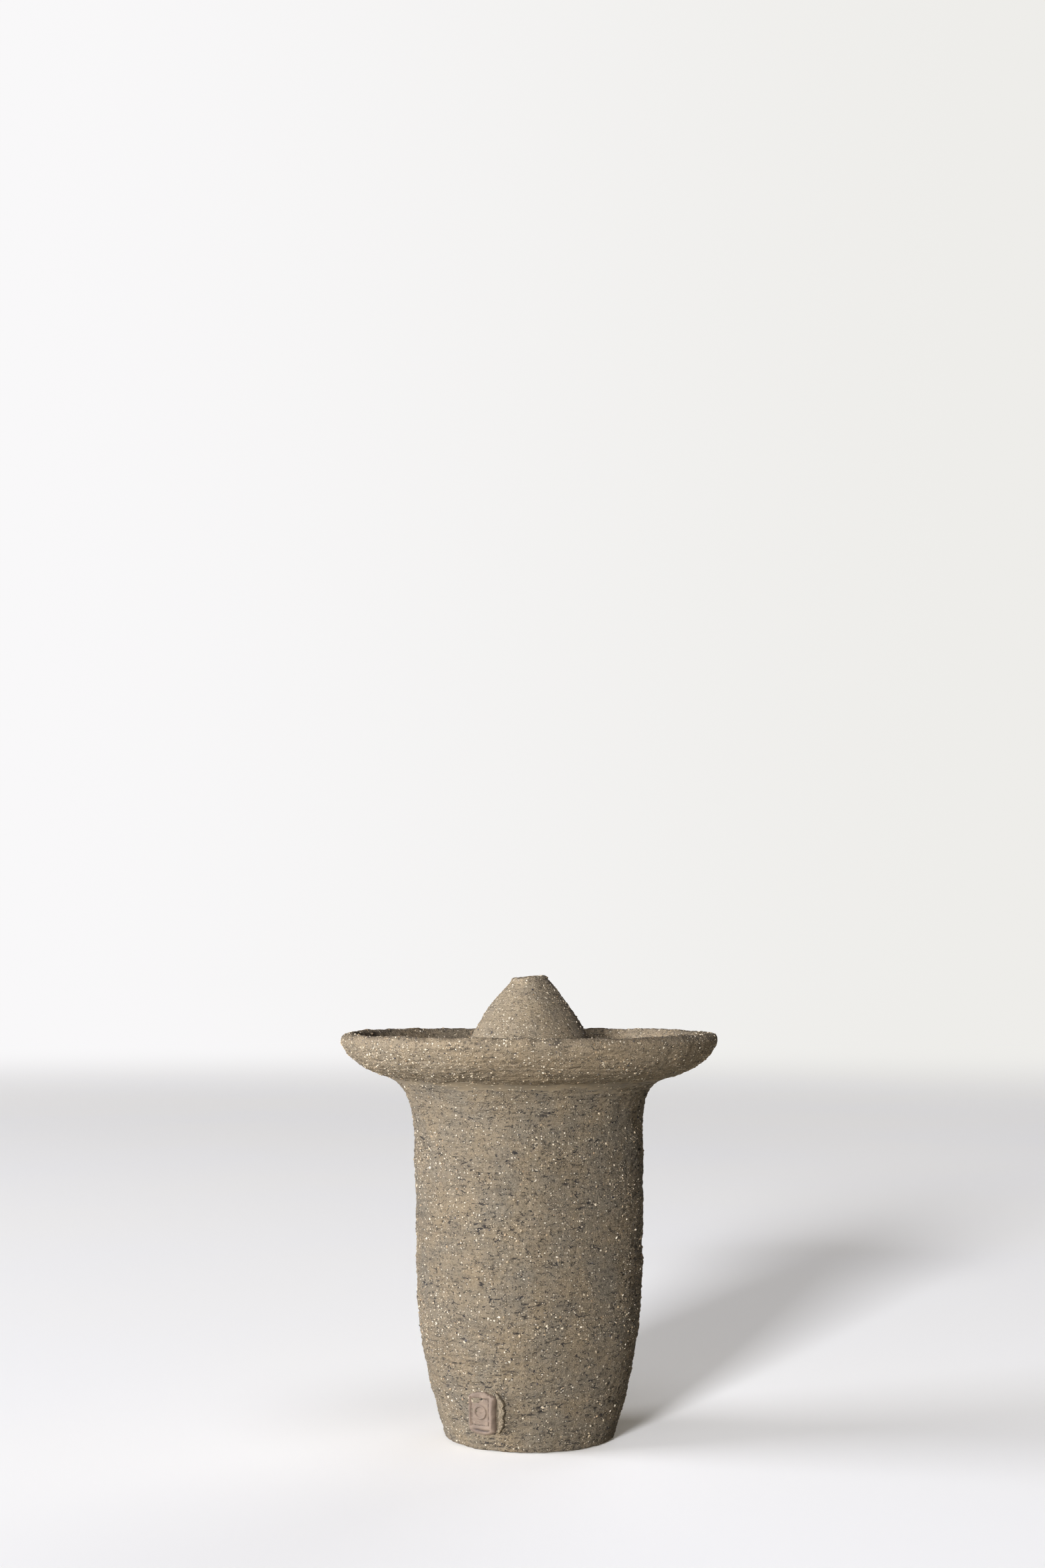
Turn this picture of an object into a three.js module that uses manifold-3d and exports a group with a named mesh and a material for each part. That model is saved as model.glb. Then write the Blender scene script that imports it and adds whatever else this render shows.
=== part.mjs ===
// A hand-thrown stoneware bud vase: a vessel with a flared collar, a wide dish luted on top of it,
// and a cone in the middle of the dish whose mouth holds one stem.
//
// Millimetres, +Z up. The origin is the centre of the foot, and the front of the vase faces -Y.
// Every round piece is turned about Z from a profile of [radius, height] points, and pieces that
// touch share the same profile points, so their faces meet with nothing between them.

import * as THREE from "three";
import { mergeVertices } from "three/addons/utils/BufferGeometryUtils.js";
import Module from "manifold-3d";

// ---------------------------------------------------------------- driving dimensions

// Vessel
const footRadius = 25.3;
const footEdgeRadius = 0.9; // the softened edge between foot and wall
const bellyRadius = 34;
const bellyHeight = 50; // where the heel's curve ends and the side begins
const shoulderRadius = 34.7;
const flareHeight = 14.2; // of the collar's flare, below the vessel's mouth
const flareSlope = 0.8; // its rise over its run where it ends
const collarRadius = 40; // outside, at the vessel's mouth
const vesselHeight = 106.2;
const vesselWall = 5;
const floorThickness = 6.5;
const floorCornerRadius = 5; // inside, between floor and wall

// Dish
const dishRadius = 57.5; // where the underside ends and the rim's round begins
const dishRise = 11; // of the underside, from the seat on the collar
const dishUnderSlope = 0.22; // the underside's rise over its run where it leaves the collar
const dishRimLean = 3.5; // how far the underside's last, steep stretch leans out
const dishFloor = 5;
const dishRimThickness = 4.6;
const dishInnerSweep = 8.6; // how far the inside's curve runs onto the floor
const dishHoleMargin = 2.3; // how far the hole in the floor lies inside the cone's hollow

// Cone
const coneFootRadius = 22;
const coneHeight = 25; // from its foot to the start of the lip
const coneShoulderRadius = 5.6; // outside, where the lip starts
const coneBulge = 0.9; // how far its side stands out from a straight line
const coneWall = 4.6;
const stemBoreRadius = 3.3;

// Joints
const slipThickness = 0.5; // scored and slipped seam between two pieces
const collarCoilDrop = 2.4; // how far the coil reaches down the collar
const collarCoilReach = 2; // and out under the dish
const coneCoilSize = 2.2; // up the cone and out over the dish floor
const coilHollow = 0.3; // how far a coil's face is hollowed, as a share of its size

// Inner glaze
const linerThickness = 0.5;
const linerStop = 8; // bare clay left below the vessel's mouth

// Maker's seal, on the front left of the heel
const sealAzimuth = 29; // degrees from the front, towards -X
const sealHeight = 12; // of its centre above the foot
const padWidth = 9.8;
const padLength = 12.4;
const padCrown = 1.3; // how far its top and bottom edges arch
const padProud = 1.3; // how far its face stands off the wall
const panelMargin = 1.3; // frame left round the pressed panel
const panelDepth = 0.45;
const markRadius = 2.1; // a plain ring, raised in the panel
const markWidth = 0.7;
const flapWidth = 2.6; // a crescent of the pad's clay that the seal pushed aside
const flapLength = 12.6;
const flapProud = 1.7;
const flapOverlap = 0.4; // of the crescent on the pad
const clearance = 0.3; // between the wall and the pad, which is cut to it

// Fineness
const turns = 40; // facets round the axis
const curveSteps = 7; // points along one curve of a profile
const arcSteps = 5;

// ---------------------------------------------------------------- heights that follow

const dishSeat = vesselHeight + slipThickness;
const dishFloorTop = dishSeat + dishFloor;
const coneSeat = dishFloorTop + slipThickness;

// ---------------------------------------------------------------- profile helpers

const at = (radius, height) => new THREE.Vector2(radius, height);

/** Points of a curve with one control point. */
function bend(from, control, to, steps = curveSteps) {
  return new THREE.QuadraticBezierCurve(from, control, to).getPoints(steps);
}

/** Points of an arc about a centre, between two angles in degrees, counter-clockwise when they rise. */
function arc(centre, radius, fromDegrees, toDegrees, steps = arcSteps) {
  return Array.from({ length: steps + 1 }, (_, i) => {
    const angle = THREE.MathUtils.degToRad(fromDegrees + ((toDegrees - fromDegrees) * i) / steps);
    return at(centre.x + radius * Math.cos(angle), centre.y + radius * Math.sin(angle));
  });
}

/** The round end of a wall, from its outside to its inside. */
function roundEnd(from, to) {
  const centre = from.clone().add(to).divideScalar(2);
  const start = THREE.MathUtils.radToDeg(from.clone().sub(centre).angle());
  return arc(centre, from.distanceTo(centre), start, start + 180).slice(1, -1);
}

/** The profile moved sideways, to its left as it is walked. */
function aside(points, distance) {
  return points.map((point, i) => {
    const before = points[Math.max(i - 1, 0)];
    const after = points[Math.min(i + 1, points.length - 1)];
    const along = after.clone().sub(before).normalize();
    return at(point.x - along.y * distance, point.y + along.x * distance);
  });
}

/** The stretch of a profile where `key` ("x" or "y") lies between two values, with new end points there. */
function between(points, key, low, high) {
  const kept = [];
  points.forEach((point, i) => {
    if (i > 0) {
      const last = points[i - 1];
      [low, high]
        .map((value) => (value - last[key]) / (point[key] - last[key]))
        .filter((share) => share > 0 && share < 1)
        .sort()
        .forEach((share) => kept.push(last.clone().lerp(point, share)));
    }
    if (point[key] >= low && point[key] <= high) kept.push(point);
  });
  return kept;
}

const reversed = (points) => [...points].reverse();
const first = (points) => points[0];
const last = (points) => points[points.length - 1];

/** Leaves out points that repeat the one before. */
function tidy(points) {
  return points.filter((point, i) => i === 0 || point.distanceTo(points[i - 1]) > 1e-3);
}

// ---------------------------------------------------------------- solids

const wasm = await Module();
wasm.setup();

/** A profile turned about Z. Its outside is walked upwards. */
function turned(profile) {
  return new THREE.LatheGeometry(tidy(profile), turns).rotateX(Math.PI / 2);
}

/** A ring whose section is a closed profile. */
function ring(section) {
  return turned([...section, first(section).clone()]);
}

/** A geometry as a solid for cutting and joining. */
function solidOf(geometry) {
  const bare = geometry.clone();
  bare.deleteAttribute("normal");
  bare.deleteAttribute("uv");
  const merged = mergeVertices(bare, 1e-4);
  return new wasm.Manifold(
    new wasm.Mesh({
      numProp: 3,
      vertProperties: new Float32Array(merged.attributes.position.array),
      triVerts: new Uint32Array(merged.index.array),
    }),
  );
}

/** A solid as a geometry again. */
function geometryOf(solid) {
  const mesh = solid.getMesh();
  const geometry = new THREE.BufferGeometry();
  geometry.setAttribute("position", new THREE.BufferAttribute(mesh.vertProperties, 3));
  geometry.setIndex(new THREE.BufferAttribute(mesh.triVerts, 1));
  geometry.computeVertexNormals();
  return geometry;
}

// ---------------------------------------------------------------- profiles

/** The vessel's outside, from the foot's edge to the mouth. */
const vesselSide = [
  ...bend(at(footRadius, footEdgeRadius), at(bellyRadius, bellyHeight / 2), at(bellyRadius, bellyHeight)),
  ...bend(
    at(shoulderRadius, vesselHeight - flareHeight),
    at(shoulderRadius, vesselHeight - flareSlope * (collarRadius - shoulderRadius)),
    at(collarRadius, vesselHeight),
  ),
];

/** The vessel's inside, from the top of the floor's corner to the mouth. It is drawn to past the mouth. */
const pastMouth = at(collarRadius + flareHeight, vesselHeight + flareHeight);
const vesselInside = between(
  aside([...vesselSide, pastMouth], vesselWall),
  "y",
  floorThickness + floorCornerRadius,
  vesselHeight,
);

/** The vessel's floor inside, from the axis to the corner's top, which runs on into the wall. */
const wallAtFloor = vesselInside[1].clone().lerp(
  vesselInside[0],
  (vesselInside[1].y - floorThickness) / (vesselInside[1].y - vesselInside[0].y),
);
const vesselFloor = [
  at(0, floorThickness),
  ...bend(at(wallAtFloor.x - floorCornerRadius, floorThickness), wallAtFloor, first(vesselInside), arcSteps),
];

/** The dish's underside, from the collar to the rim. */
const dishUnderCorner = at(
  dishRadius - dishRimLean,
  dishSeat + dishUnderSlope * (dishRadius - dishRimLean - collarRadius),
);
const dishUnder = bend(at(collarRadius, dishSeat), dishUnderCorner, at(dishRadius, dishSeat + dishRise));

/** The dish's inside, from the floor to the rim, where it runs alongside the underside. */
const rimDirection = last(dishUnder).clone().sub(dishUnderCorner).normalize();
const rimInside = at(
  last(dishUnder).x - rimDirection.y * dishRimThickness,
  last(dishUnder).y + rimDirection.x * dishRimThickness,
);
const dishInsideCorner = rimInside
  .clone()
  .addScaledVector(rimDirection, (dishFloorTop - rimInside.y) / rimDirection.y);
const dishInside = bend(at(dishInsideCorner.x - dishInnerSweep, dishFloorTop), dishInsideCorner, rimInside);

/** The cone's outside, from its foot to the lip. */
const coneSide = bend(
  at(coneFootRadius, coneSeat),
  at(
    (coneFootRadius + coneShoulderRadius) / 2 + coneBulge,
    coneSeat + coneHeight / 2 + 2 * coneBulge,
  ),
  at(coneShoulderRadius, coneSeat + coneHeight),
);

/** The cone's hollow. It is drawn from below the foot, so that it is cut off level there. */
const belowFoot = at(coneFootRadius + coneWall, coneSeat - 1.5 * coneWall);
const coneHollow = [
  ...between(
    between(
      aside([belowFoot, ...coneSide], coneWall),
      "y",
      coneSeat,
      coneSeat + coneHeight,
    ),
    "x",
    stemBoreRadius,
    coneFootRadius,
  ),
  at(stemBoreRadius, coneSeat + coneHeight),
];
const dishHoleRadius = first(coneHollow).x - dishHoleMargin;

// ---------------------------------------------------------------- thrown pieces

function vessel() {
  return turned([
    at(0, 0),
    at(footRadius - footEdgeRadius, 0),
    ...vesselSide,
    ...reversed(vesselInside),
    ...reversed(vesselFloor),
  ]);
}

function dish() {
  return ring([
    at(dishHoleRadius, dishSeat),
    ...dishUnder,
    ...roundEnd(last(dishUnder), last(dishInside)),
    ...reversed(dishInside),
    at(dishHoleRadius, dishFloorTop),
  ]);
}

function cone() {
  return ring([...coneSide, ...roundEnd(last(coneSide), last(coneHollow)), ...reversed(coneHollow)]);
}

// ---------------------------------------------------------------- joints

/** A flat washer of slip between two scored faces. */
function slipSeam(innerRadius, outerRadius, height) {
  return ring([
    at(innerRadius, height),
    at(outerRadius, height),
    at(outerRadius, height + slipThickness),
    at(innerRadius, height + slipThickness),
  ]);
}

/** The hollowed face of a coil between its two feathered edges, bent towards the corner it fills. */
function coilFace(from, to, corner) {
  const middle = from.clone().add(to).divideScalar(2);
  return bend(from, middle.lerp(corner, coilHollow), to, arcSteps).slice(1, -1);
}

/** Soft clay worked into the corner between collar and dish. */
function collarCoil() {
  const onCollar = between(vesselSide, "y", vesselHeight - collarCoilDrop, vesselHeight);
  const onDish = between(dishUnder, "x", collarRadius, collarRadius + collarCoilReach);
  return ring([
    ...coilFace(first(onCollar), last(onDish), last(onCollar)),
    ...reversed(onDish),
    ...reversed(onCollar),
  ]);
}

/** Soft clay worked round the foot of the cone. */
function coneCoil() {
  const onCone = between(coneSide, "y", coneSeat, coneSeat + coneCoilSize);
  const onFloor = at(coneFootRadius + coneCoilSize, dishFloorTop);
  return ring([
    onFloor,
    ...coilFace(onFloor, last(onCone), first(onCone)),
    ...reversed(onCone),
    at(coneFootRadius, dishFloorTop),
  ]);
}

/** The glaze that makes the open clay hold water. */
function linerGlaze() {
  const onWall = between(vesselInside, "y", 0, vesselHeight - linerStop);
  const coated = [...vesselFloor, ...onWall.slice(1)];
  const face = aside(coated, linerThickness);
  face[0].x = 0;
  return turned([...coated, ...reversed(face)]);
}

// ---------------------------------------------------------------- maker's seal

/** A body whose surface lies outside the vessel's wall by a distance, over the height of the seal. */
function wallGrownBy(distance) {
  const reach = Math.max(padLength, flapLength);
  const skin = between(aside(vesselSide, -distance), "y", sealHeight - reach, sealHeight + reach);
  return solidOf(turned([at(0, first(skin).y), ...skin, at(0, last(skin).y)]));
}

/** An outline in the seal's own plane, x to the right and y up, driven through the wall. */
function throughWall(outline) {
  const prism = new THREE.ExtrudeGeometry(outline, {
    depth: bellyRadius * 2,
    bevelEnabled: false,
    curveSegments: arcSteps * 2,
  });
  prism.rotateX(Math.PI / 2);
  prism.rotateZ(THREE.MathUtils.degToRad(-sealAzimuth));
  prism.translate(0, 0, sealHeight);
  return solidOf(prism);
}

/** A pad-like outline: straight sides, and arched top and bottom. */
function padOutline(width, length, crown) {
  const x = width / 2;
  const y = length / 2 - crown;
  const shape = new THREE.Shape();
  shape.moveTo(-x, -y);
  shape.quadraticCurveTo(0, -y - 2 * crown, x, -y);
  shape.lineTo(x, y);
  shape.quadraticCurveTo(0, y + 2 * crown, -x, y);
  shape.closePath();
  return shape;
}

/** The crescent at the pad's right edge. */
function flapOutline() {
  const left = padWidth / 2 - flapOverlap;
  const top = flapLength / 2;
  const shape = new THREE.Shape();
  shape.moveTo(left, -top);
  shape.quadraticCurveTo(left + 2 * (flapWidth + flapOverlap), 0, left, top);
  shape.closePath();
  return shape;
}

/** A plain disc outline in the middle of the panel. */
function discOutline(radius) {
  const shape = new THREE.Shape();
  shape.absarc(0, 0, radius, 0, 2 * Math.PI, false);
  return shape;
}

function sealPad() {
  const skin = wallGrownBy(padProud);
  const pressed = skin.subtract(wallGrownBy(padProud - panelDepth));
  const panel = throughWall(padOutline(padWidth - 2 * panelMargin, padLength - 2 * panelMargin, 0));
  const mark = throughWall(discOutline(markRadius)).subtract(throughWall(discOutline(markRadius - markWidth)));
  const flap = throughWall(flapOutline()).intersect(wallGrownBy(flapProud));
  const pad = throughWall(padOutline(padWidth, padLength, padCrown))
    .intersect(skin)
    .subtract(pressed.intersect(panel.subtract(mark)))
    .add(flap)
    .subtract(wallGrownBy(clearance));
  return geometryOf(pad);
}

// ---------------------------------------------------------------- materials and assembly

const clay = { color: 0x8e8270, roughness: 0.92, metalness: 0 };
const smoothClay = { color: 0x998877, roughness: 0.8, metalness: 0 };
const slip = { color: 0x86796a, roughness: 0.9, metalness: 0 };
const glaze = { color: 0x4a4038, roughness: 0.25, metalness: 0 };

const vase = new THREE.Group();

function add(name, geometry, finish) {
  const mesh = new THREE.Mesh(geometry, new THREE.MeshStandardMaterial(finish));
  mesh.name = name;
  vase.add(mesh);
}

add("vessel", vessel(), clay);
add("dish", dish(), clay);
add("cone", cone(), clay);
add("collar_slip", slipSeam(last(vesselInside).x, collarRadius, vesselHeight), slip);
add("cone_slip", slipSeam(first(coneHollow).x, coneFootRadius, dishFloorTop), slip);
add("collar_coil", collarCoil(), smoothClay);
add("cone_coil", coneCoil(), smoothClay);
add("liner_glaze", linerGlaze(), glaze);
add("seal_pad", sealPad(), smoothClay);

export default vase;
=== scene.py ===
"""A thrown stoneware bud vase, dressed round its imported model.

Three thrown pieces are luted together: a vessel with a flared collar, a wide dish, and a hollow cone that
holds one stem. The clay is coarse and unglazed outside, full of light and dark grog.

Lengths are in metres in the model's frame: +Z up, the foot's centre at the origin, the front facing -Y.
"""

import logging
import math
import random
from collections.abc import Callable
from dataclasses import dataclass, field
from enum import Enum
from typing import Any

import bmesh
import bpy
import numpy as np
from mathutils import Matrix, Vector, geometry, noise


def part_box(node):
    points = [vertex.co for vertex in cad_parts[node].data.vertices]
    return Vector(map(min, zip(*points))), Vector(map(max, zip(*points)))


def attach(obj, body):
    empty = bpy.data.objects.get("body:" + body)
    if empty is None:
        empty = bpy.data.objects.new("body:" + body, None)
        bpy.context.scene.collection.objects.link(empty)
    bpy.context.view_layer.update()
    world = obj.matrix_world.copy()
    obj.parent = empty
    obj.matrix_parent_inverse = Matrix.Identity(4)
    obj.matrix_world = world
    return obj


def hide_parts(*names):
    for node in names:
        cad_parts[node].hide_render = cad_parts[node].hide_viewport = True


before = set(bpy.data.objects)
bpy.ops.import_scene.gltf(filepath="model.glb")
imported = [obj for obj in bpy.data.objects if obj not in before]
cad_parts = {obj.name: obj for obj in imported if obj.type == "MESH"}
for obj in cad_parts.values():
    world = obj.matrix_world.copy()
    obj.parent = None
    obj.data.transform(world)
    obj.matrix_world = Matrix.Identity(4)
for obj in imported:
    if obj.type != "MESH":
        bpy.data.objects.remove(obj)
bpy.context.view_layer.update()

MM = 0.001
BODY = "root"
CURVE_DRAFT = 96  # points of a curve before they are spaced evenly
MERGE_DISTANCE = 1e-6
WEDGES = 8  # a power of two: one wedge is spun, then doubled until it closes, which is quicker than one spin
GRAINS_AT_A_TIME = 100

Colour = tuple[float, float, float, float]

log = logging.getLogger("bud_vase")


class Slot(Enum):
    """The record's material slots."""

    GROGGED = "grogged_clay"
    SMOOTH = "smooth_clay"
    SEAL = "seal_clay"
    SLIP = "slip"
    LINER = "liner_glaze"


def ease(value: float, low: float, high: float) -> float:
    """How far a value is on its way from low to high, from 0 to 1, starting and ending gently.

    Args:
        value: the value.
        low: where the way starts.
        high: where it ends, which may be below low.

    Returns:
        A share from 0 to 1.
    """
    share = min(max((value - low) / (high - low), 0.0), 1.0)
    return share * share * (3 - 2 * share)


def grey(level: float) -> Colour:
    """A neutral colour of one level."""
    return (level, level, level, 1.0)


# ------------------------------------------------------------------------------------------ node graphs


class Value:
    """A number that varies over a surface. Sums and products of it add Math nodes."""

    def __init__(self, graph: "Graph", socket: bpy.types.NodeSocket) -> None:
        """Wraps a socket of a graph."""
        self.graph = graph
        self.socket = socket

    def __add__(self, other: "Value | float") -> "Value":
        """self + other."""
        return self.graph.math("ADD", self, other)

    __radd__ = __add__

    def __sub__(self, other: "Value | float") -> "Value":
        """self - other."""
        return self.graph.math("SUBTRACT", self, other)

    def __rsub__(self, other: float) -> "Value":
        """other - self."""
        return self.graph.math("SUBTRACT", other, self)

    def __mul__(self, other: "Value | float") -> "Value":
        """self * other."""
        return self.graph.math("MULTIPLY", self, other)

    __rmul__ = __mul__

    def __truediv__(self, other: "Value | float") -> "Value":
        """self / other."""
        return self.graph.math("DIVIDE", self, other)

    def __pow__(self, other: "Value | float") -> "Value":
        """self to the power of other."""
        return self.graph.math("POWER", self, other)

    def step(self, low: float, high: float) -> "Value":
        """0 below low and 1 above high, smooth between them; low may be the greater."""
        node = self.graph.node(
            "ShaderNodeMapRange",
            {"interpolation_type": "SMOOTHSTEP"},
            {"Value": self, "From Min": low, "From Max": high},
        )
        return Value(self.graph, node.outputs["Result"])


class Graph:
    """The node tree of one material, or of the world."""

    def __init__(self, owner: bpy.types.Material | bpy.types.World) -> None:
        """Empties a tree."""
        self.owner = owner
        owner.use_nodes = True
        self.tree = owner.node_tree
        self.tree.nodes.clear()

    def node(self, kind: str, settings: dict[str, Any] | None = None,
             inputs: dict[str | int, Any] | None = None) -> bpy.types.Node:
        """Adds a node.

        Args:
            kind: the node's type.
            settings: its own properties; "stops" are a colour ramp's positions and colours.
            inputs: numbers, colours, sockets or Values for its sockets, by name or place.

        Returns:
            The node.
        """
        node = self.tree.nodes.new(kind)
        for name, setting in (settings or {}).items():
            if name == "stops":
                self._set_stops(node.color_ramp, setting)
            else:
                setattr(node, name, setting)
        for name, given in (inputs or {}).items():
            if isinstance(given, Value):
                given = given.socket
            if isinstance(given, bpy.types.NodeSocket):
                self.tree.links.new(given, node.inputs[name])
            else:
                node.inputs[name].default_value = given
        return node

    @staticmethod
    def _set_stops(ramp: bpy.types.ColorRamp, stops: list[tuple[float, Colour]]) -> None:
        """Gives a ramp exactly these stops."""
        while len(ramp.elements) < len(stops):
            ramp.elements.new(1.0)
        for element, (position, colour) in zip(ramp.elements, stops):
            element.position = position
            element.color = colour

    def math(self, operation: str, *terms: "Value | float") -> Value:
        """One Math node."""
        node = self.node("ShaderNodeMath", {"operation": operation}, dict(enumerate(terms)))
        return Value(self, node.outputs[0])

    def mix(self, share: "Value | float", first: Any, second: Any) -> bpy.types.NodeSocket:
        """A colour between two colours: the first at share 0, the second at 1."""
        node = self.node("ShaderNodeMix", {"data_type": "RGBA"}, {0: share, 6: first, 7: second})
        return node.outputs[2]

    def ramp(self, share: Value, stops: list[tuple[float, Colour]]) -> bpy.types.NodeSocket:
        """A colour picked from stops."""
        return self.node("ShaderNodeValToRGB", {"stops": stops}, {0: share}).outputs["Color"]

    def place(self) -> bpy.types.NodeSocket:
        """The place of a point in the model's frame."""
        return self.node("ShaderNodeTexCoord").outputs["Object"]

    def stretched(self, vector: Any, by: tuple[float, float, float]) -> bpy.types.NodeSocket:
        """A vector multiplied side by side."""
        node = self.node("ShaderNodeVectorMath", {"operation": "MULTIPLY"}, {0: vector, 1: by})
        return node.outputs["Vector"]

    def strayed(self, vector: Any, grain: float, reach: float) -> bpy.types.NodeSocket:
        """A vector moved about by noise, by up to half of reach along each axis."""
        wander = self.node("ShaderNodeTexNoise", None, {"Vector": vector, "Scale": 1 / grain})
        centred = self.node(
            "ShaderNodeVectorMath", {"operation": "SUBTRACT"}, {0: wander.outputs["Color"], 1: (0.5, 0.5, 0.5)}
        )
        node = self.node(
            "ShaderNodeVectorMath", {"operation": "MULTIPLY_ADD"}, {0: centred.outputs[0], 1: (reach,) * 3, 2: vector}
        )
        return node.outputs["Vector"]

    def split(self, vector: Any) -> tuple[Value, Value, Value]:
        """The three parts of a vector."""
        parts = self.node("ShaderNodeSeparateXYZ", None, {0: vector}).outputs
        return tuple(Value(self, socket) for socket in parts)

    def noise(self, vector: Any, grain: float, detail: float = 2.0, roughness: float = 0.5) -> Value:
        """Cloudy noise from 0 to 1, whose lumps are about one grain long."""
        inputs = {"Vector": vector, "Scale": 1 / grain, "Detail": detail, "Roughness": roughness}
        return Value(self, self.node("ShaderNodeTexNoise", None, inputs).outputs["Fac"])

    def cells(self, vector: Any, grain: float) -> tuple[Value, Value, Value]:
        """Scattered points about a grain apart.

        Args:
            vector: the place to look up.
            grain: the mean distance between points.

        Returns:
            The distance to the nearest, in grains, and two random numbers of that point.
        """
        node = self.node("ShaderNodeTexVoronoi", None, {"Vector": vector, "Scale": 1 / grain})
        parts = self.node("ShaderNodeSeparateColor", None, {0: node.outputs["Color"]})
        return (
            Value(self, node.outputs["Distance"]),
            Value(self, parts.outputs[0]),
            Value(self, parts.outputs[1]),
        )

    def edges(self, vector: Any, grain: float) -> Value:
        """The distance to the edges between cells about a grain across, in grains."""
        settings = {"feature": "DISTANCE_TO_EDGE"}
        node = self.node("ShaderNodeTexVoronoi", settings, {"Vector": vector, "Scale": 1 / grain})
        return Value(self, node.outputs["Distance"])

    def attribute(self, name: str) -> Value:
        """A number stored on the piece's mesh."""
        return Value(self, self.node("ShaderNodeAttribute", {"attribute_name": name}).outputs["Fac"])

    def finish(self, inputs: dict[str | int, Any], height: Value | None = None) -> bpy.types.Material:
        """Ends the tree in one shader.

        Args:
            inputs: the shader's sockets.
            height: the fine relief in metres, which turns the normal.

        Returns:
            The material.
        """
        if height is not None:
            bump = self.node("ShaderNodeBump", None, {"Strength": 1.0, "Distance": 1.0, "Height": height})
            inputs = {**inputs, "Normal": bump.outputs["Normal"]}
        shader = self.node("ShaderNodeBsdfPrincipled", None, inputs)
        self.node("ShaderNodeOutputMaterial", None, {"Surface": shader.outputs[0]})
        return self.owner


# ------------------------------------------------------------------------------------------ finishes


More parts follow.
